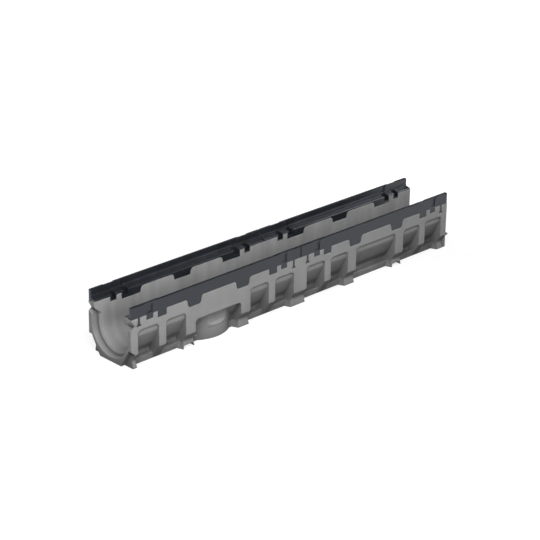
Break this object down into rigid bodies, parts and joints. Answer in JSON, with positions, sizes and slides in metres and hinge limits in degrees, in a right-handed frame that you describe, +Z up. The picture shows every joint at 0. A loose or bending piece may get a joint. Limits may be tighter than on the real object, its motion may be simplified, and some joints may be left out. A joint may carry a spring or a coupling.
{
  "type": "channel drain",
  "caption": "Straight trough channel with a round bottom, ribbed outer walls, interlocking ends and metal edge rails with locking pockets for a grating",
  "frame": {"origin": "on the ground plane below the trough's middle, halfway between its two end faces", "axes": "+X along the channel towards the end with the lugs, +Y across it towards the rear wall, +Z up"},
  "size_m": [1.0083, 0.14, 0.145],
  "materials": {
    "concrete": "matt, cast",
    "coated_iron": "satin dip coating"
  },
  "bodies": {
    "root": {"channel_body": "concrete", "edge_rail_front_left": "coated_iron", "edge_rail_front_right": "coated_iron", "edge_rail_rear_left": "coated_iron", "edge_rail_rear_right": "coated_iron"}
  },
  "joints": []
}
